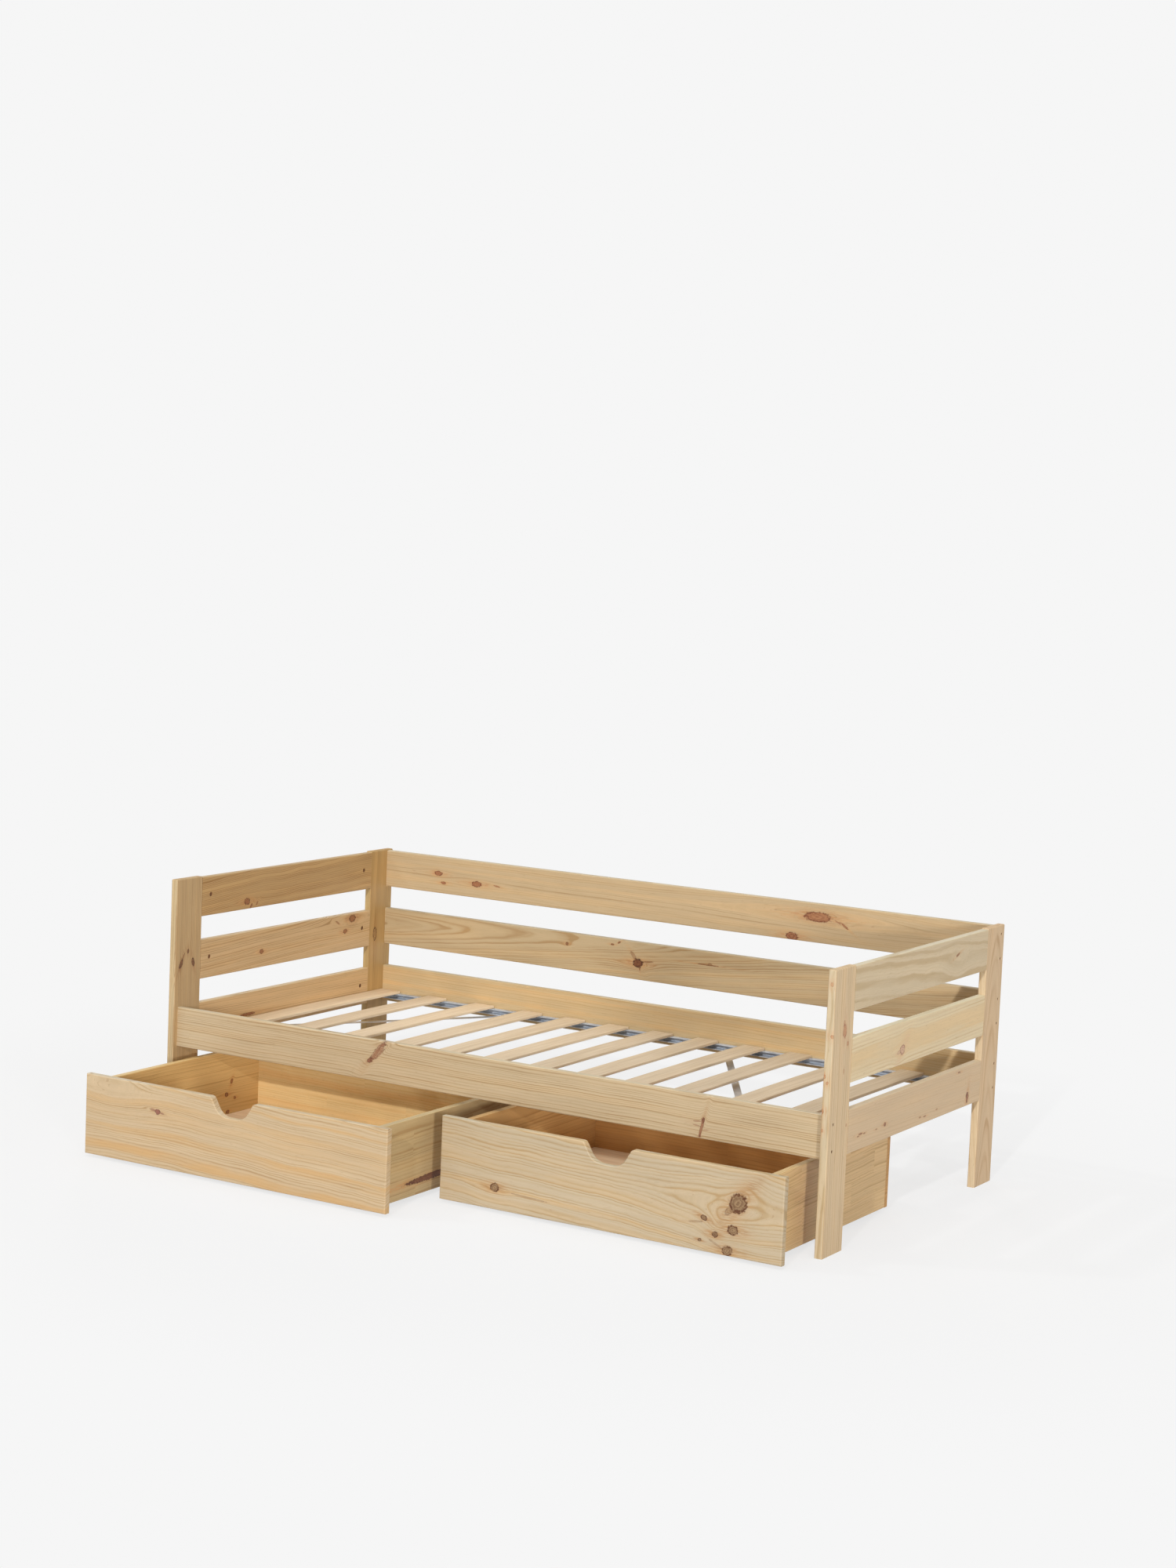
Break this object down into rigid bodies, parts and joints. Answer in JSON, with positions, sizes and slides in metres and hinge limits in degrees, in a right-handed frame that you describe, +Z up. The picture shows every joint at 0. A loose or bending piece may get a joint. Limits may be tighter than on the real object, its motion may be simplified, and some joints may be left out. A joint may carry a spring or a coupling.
{
  "type": "storage daybed",
  "caption": "Pine daybed with railed back and ends, a low front rail, sprung slats on steel side rails, and roll-out storage drawers with hand cut-outs underneath.",
  "frame": {"origin": "on the floor, midway along the daybed, and midway between its back and the drawer front that stands out furthest", "axes": "+X along the daybed to its right end as seen from the front, +Y from front to back, +Z up"},
  "size_m": [1.96, 1.34, 0.678],
  "materials": {
    "pine": "planed clear pine with knots, matt oil",
    "slat_wood": "pale plain hardwood, unfinished",
    "plywood": "thin pine-faced panel, unfinished",
    "steel": "rolled steel, grey satin coat",
    "zinc": "zinc plated",
    "plastic": "moulded black plastic"
  },
  "bodies": {
    "bed_frame": {"left_front_post": "pine", "left_back_post": "pine", "left_end_rail_top": "pine", "left_end_rail_middle": "pine", "left_end_rail_low": "pine", "right_front_post": "pine", "right_back_post": "pine", "right_end_rail_top": "pine", "right_end_rail_middle": "pine", "right_end_rail_low": "pine", "back_rail_top": "pine", "back_rail_middle": "pine", "back_rail_low": "pine", "front_rail": "pine", "cams": "zinc", "cam_bolts": "zinc", "dowels": "slat_wood", "rail_screws": "zinc", "front_steel_rail": "steel", "back_steel_rail": "steel", "steel_rail_screws": "zinc", "slat_01": "slat_wood", "slat_02": "slat_wood", "slat_03": "slat_wood", "slat_04": "slat_wood", "slat_05": "slat_wood", "slat_06": "slat_wood", "slat_07": "slat_wood", "slat_08": "slat_wood", "slat_09": "slat_wood", "slat_10": "slat_wood", "slat_11": "slat_wood", "slat_12": "slat_wood", "slat_13": "slat_wood", "slat_pegs": "plastic", "left_brace": "steel", "right_brace": "steel", "brace_fasteners": "zinc"},
    "left_drawer": {"left_drawer_front": "pine", "left_drawer_left_side": "pine", "left_drawer_right_side": "pine", "left_drawer_back": "pine", "left_drawer_bottom": "plywood", "left_drawer_fittings": "zinc", "left_drawer_castor_frames": "zinc"},
    "left_drawer_wheel_front_left": {"left_drawer_wheel_front_left": "plastic"},
    "left_drawer_wheel_front_right": {"left_drawer_wheel_front_right": "plastic"},
    "left_drawer_wheel_back_left": {"left_drawer_wheel_back_left": "plastic"},
    "left_drawer_wheel_back_right": {"left_drawer_wheel_back_right": "plastic"},
    "right_drawer": {"right_drawer_front": "pine", "right_drawer_left_side": "pine", "right_drawer_right_side": "pine", "right_drawer_back": "pine", "right_drawer_bottom": "plywood", "right_drawer_fittings": "zinc", "right_drawer_castor_frames": "zinc"},
    "right_drawer_wheel_front_left": {"right_drawer_wheel_front_left": "plastic"},
    "right_drawer_wheel_front_right": {"right_drawer_wheel_front_right": "plastic"},
    "right_drawer_wheel_back_left": {"right_drawer_wheel_back_left": "plastic"},
    "right_drawer_wheel_back_right": {"right_drawer_wheel_back_right": "plastic"}
  },
  "joints": [
    {"name": "left_drawer_slide", "type": "slide", "parent": "bed_frame", "child": "left_drawer", "axis": [0, -1, 0], "range_m": [-0.37, 0.282]},
    {"name": "left_drawer_wheel_front_left_spin", "type": "hinge", "parent": "left_drawer", "child": "left_drawer_wheel_front_left", "pos_m": [-0.84, -0.6, 0.011], "axis": [1, 0, 0], "continuous": true},
    {"name": "left_drawer_wheel_front_right_spin", "type": "hinge", "parent": "left_drawer", "child": "left_drawer_wheel_front_right", "pos_m": [-0.114, -0.6, 0.011], "axis": [1, 0, 0], "continuous": true},
    {"name": "left_drawer_wheel_back_left_spin", "type": "hinge", "parent": "left_drawer", "child": "left_drawer_wheel_back_left", "pos_m": [-0.84, -0.084, 0.011], "axis": [1, 0, 0], "continuous": true},
    {"name": "left_drawer_wheel_back_right_spin", "type": "hinge", "parent": "left_drawer", "child": "left_drawer_wheel_back_right", "pos_m": [-0.114, -0.084, 0.011], "axis": [1, 0, 0], "continuous": true},
    {"name": "right_drawer_slide", "type": "slide", "parent": "bed_frame", "child": "right_drawer", "axis": [0, -1, 0], "range_m": [-0.158, 0.494]},
    {"name": "right_drawer_wheel_front_left_spin", "type": "hinge", "parent": "right_drawer", "child": "right_drawer_wheel_front_left", "pos_m": [0.114, -0.388, 0.011], "axis": [1, 0, 0], "continuous": true},
    {"name": "right_drawer_wheel_front_right_spin", "type": "hinge", "parent": "right_drawer", "child": "right_drawer_wheel_front_right", "pos_m": [0.84, -0.388, 0.011], "axis": [1, 0, 0], "continuous": true},
    {"name": "right_drawer_wheel_back_left_spin", "type": "hinge", "parent": "right_drawer", "child": "right_drawer_wheel_back_left", "pos_m": [0.114, 0.128, 0.011], "axis": [1, 0, 0], "continuous": true},
    {"name": "right_drawer_wheel_back_right_spin", "type": "hinge", "parent": "right_drawer", "child": "right_drawer_wheel_back_right", "pos_m": [0.84, 0.128, 0.011], "axis": [1, 0, 0], "continuous": true}
  ],
  "couplings": [
    {"joint": "left_drawer_wheel_front_left_spin", "follows": "left_drawer_slide", "rad_per_m": 90.909},
    {"joint": "left_drawer_wheel_front_right_spin", "follows": "left_drawer_slide", "rad_per_m": 90.909},
    {"joint": "left_drawer_wheel_back_left_spin", "follows": "left_drawer_slide", "rad_per_m": 90.909},
    {"joint": "left_drawer_wheel_back_right_spin", "follows": "left_drawer_slide", "rad_per_m": 90.909},
    {"joint": "right_drawer_wheel_front_left_spin", "follows": "right_drawer_slide", "rad_per_m": 90.909},
    {"joint": "right_drawer_wheel_front_right_spin", "follows": "right_drawer_slide", "rad_per_m": 90.909},
    {"joint": "right_drawer_wheel_back_left_spin", "follows": "right_drawer_slide", "rad_per_m": 90.909},
    {"joint": "right_drawer_wheel_back_right_spin", "follows": "right_drawer_slide", "rad_per_m": 90.909}
  ]
}
